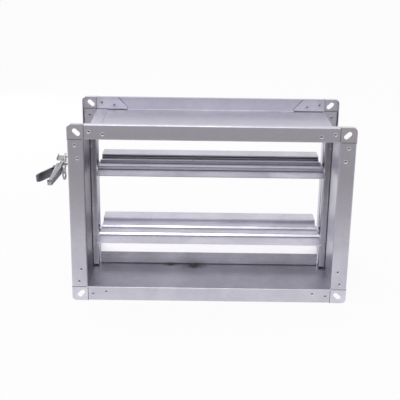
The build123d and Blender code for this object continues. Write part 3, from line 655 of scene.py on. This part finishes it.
def eased_copy(node, name, material, body):
    """Copies a CAD piece, joins its triangles and rounds its sharp edges by a few tenths."""
    shape = bmesh.new()
    shape.from_mesh(nodes[node].data)
    bmesh.ops.remove_doubles(shape, verts=shape.verts, dist=weld_mm * MM)
    bmesh.ops.dissolve_limit(
        shape, angle_limit=radians(flat_degrees), verts=shape.verts, edges=shape.edges
    )
    sharp = [
        edge
        for edge in shape.edges
        if edge.is_manifold and edge.calc_face_angle() > radians(sharp_degrees)
    ]
    bmesh.ops.bevel(
        shape,
        geom=sharp,
        offset=edge_ease * MM,
        offset_type="OFFSET",
        segments=2,
        profile=0.5,
        affect="EDGES",
        material=-1,
        clamp_overlap=True,
    )
    bmesh.ops.triangulate(shape, faces=shape.faces)
    make_piece(name, shape, material, body, [node])


eased_copy("hand_lever", "pressed_hand_lever", dull_zinc, "upper_blade")
eased_copy("clamp_nut", "leaf_clamp_nut", dark_zinc, "clamp_nut")


# Floor: a plain white sheet under the part, seen and mirrored as white, which keeps a soft shadow.
# The mix lets the lit paper show through where the part shades it.
floor_height, floor_half, white_share = cad_low.z, 6.0, 0.93


def lay_sheet(name, middle, half_across, half_along):
    """Lays a flat sheet that belongs to the set and isn't part of the object."""
    mesh = bpy.data.meshes.new(name)
    shape = bmesh.new()
    place = Matrix.Translation(middle) @ Matrix.Diagonal((half_across, half_along, 1, 1))
    bmesh.ops.create_grid(shape, x_segments=1, y_segments=1, size=1.0, matrix=place)
    shape.to_mesh(mesh)
    shape.free()
    laid = bpy.data.objects.new(name, mesh)
    bpy.context.scene.collection.objects.link(laid)
    return laid


def shown_rays(tree):
    """Gives 1 for rays from the camera, and for those that metal or glass sends on."""
    rays = add_node(tree, "ShaderNodeLightPath").outputs
    seen = rays["Is Camera Ray"]
    for kind in ("Is Glossy Ray", "Is Transmission Ray"):
        seen = add_node(tree, "ShaderNodeMath", {0: seen, 1: rays[kind]}, operation="MAXIMUM").outputs[0]
    return seen


floor = lay_sheet("floor", (0, 0, floor_height), floor_half, floor_half)
floor_paper = bpy.data.materials.new("white_paper")
floor_paper.use_nodes = True
tree = floor_paper.node_tree
paper = tree.nodes["Principled BSDF"]
paper.inputs["Base Color"].default_value = linear("#F2F2F2")
paper.inputs["Roughness"].default_value = 0.9
shown = add_node(tree, "ShaderNodeMath", {0: shown_rays(tree), 1: white_share}, operation="MULTIPLY")
white = add_node(tree, "ShaderNodeEmission", {"Color": (1, 1, 1, 1), "Strength": 1.0})
blend = add_node(
    tree, "ShaderNodeMixShader", {0: shown.outputs[0], 1: paper.outputs["BSDF"], 2: white.outputs["Emission"]}
)
tree.links.new(blend.outputs["Shader"], tree.nodes["Material Output"].inputs["Surface"])
floor.data.materials.append(floor_paper)


# Front cloth: dark felt laid over the white floor in front of the part, nearer than the picture's edge.
# No camera sees it and it throws no shade. Only reflections show it: the front faces mirror it, which
# gives the metal its depth. The felt is matt, with tufts drawn coarser than real ones.
cloth_near, cloth_far, cloth_half, cloth_thickness = -0.40, -2.6, 2.0, 1.0
cloth_middle = (0, (cloth_near + cloth_far) / 2, floor_height + cloth_thickness * MM)
cloth = lay_sheet("front_cloth", cloth_middle, cloth_half, (cloth_near - cloth_far) / 2)
cloth.visible_camera = False
cloth.visible_diffuse = False
cloth.visible_shadow = False
felt = bpy.data.materials.new("dark_felt")
felt.use_nodes = True
tree = felt.node_tree
felt_shader = tree.nodes["Principled BSDF"]
felt_place = add_node(tree, "ShaderNodeTexCoord").outputs["Object"]
tuft_mm = 4.0
tufts = add_node(
    tree, "ShaderNodeTexNoise", {"Vector": felt_place, "Scale": 1 / (tuft_mm * MM), "Detail": 2.0}
).outputs["Fac"]
felt_tone = add_node(tree, "ShaderNodeValToRGB", {"Fac": tufts})
for stop, shade in zip(felt_tone.color_ramp.elements, ("#857D78", "#958C86")):
    stop.color = linear(shade)
tree.links.new(felt_tone.outputs["Color"], felt_shader.inputs["Base Color"])
felt_shader.inputs["Roughness"].default_value = 0.95
cloth.data.materials.append(felt)


# Room: white where it is seen or mirrored, and a softer grey where it only lights the part.
# It stands for the white backdrop all round.
room_lighting, room_seen = 0.6, 1.0
world = bpy.data.worlds.new("white_room")
bpy.context.scene.world = world
world.use_nodes = True
tree = world.node_tree
room = tree.nodes["Background"]
room.inputs["Color"].default_value = (1, 1, 1, 1)
strength = add_node(
    tree, "ShaderNodeMapRange", {"Value": shown_rays(tree), "To Min": room_lighting, "To Max": room_seen}
)
tree.links.new(strength.outputs["Result"], room.inputs["Strength"])


# Lamps: a wide soft panel overhead, a low one behind on the left, and one high in front.
# The front one runs along the ribs, folds and clinched pits as bright lines.
def soft_panel(name, place, aim, size, power):
    """Hangs a square soft lamp that points at a spot."""
    lamp = bpy.data.lights.new(name, "AREA")
    lamp.size = size
    lamp.energy = power
    holder = bpy.data.objects.new(name, lamp)
    bpy.context.scene.collection.objects.link(holder)
    holder.location = place
    holder.rotation_euler = (Vector(aim) - Vector(place)).to_track_quat("-Z", "Y").to_euler()


soft_panel("overhead_panel", place=(-0.5, 0.5, 2.0), aim=(0, 0.1, 0), size=1.4, power=6.0)
soft_panel("back_left_panel", place=(-1.1, 1.5, 0.25), aim=(0.25, 0.1, 0), size=0.6, power=5.0)
soft_panel("front_panel", place=(-0.1, -0.85, 1.35), aim=(0, 0.1, -0.05), size=0.6, power=4.8)


# Camera: at the photograph's place, a little to the left and above, looking slightly down.
# The picture's upright edges lean in less than its tilt gives, which a small shift takes up.
camera_place = (-0.0269, -1.5091, 0.6303)
pitch, yaw, roll = radians(17.217), radians(0.130), radians(0.787)
focal_pixels, image_pixels = 804.5, 400
camera_data = bpy.data.cameras.new("camera")
camera_data.sensor_width = 36.0
camera_data.lens = focal_pixels / image_pixels * camera_data.sensor_width
camera_data.shift_y = -0.15
camera = bpy.data.objects.new("camera", camera_data)
bpy.context.scene.collection.objects.link(camera)
camera.matrix_world = (
    Matrix.Translation(camera_place)
    @ Matrix.Rotation(-yaw, 4, "Z")
    @ Matrix.Rotation(radians(90) - pitch, 4, "X")
    @ Matrix.Rotation(roll, 4, "Z")
)
bpy.context.scene.camera = camera
bpy.context.scene.view_settings.view_transform = "Standard"
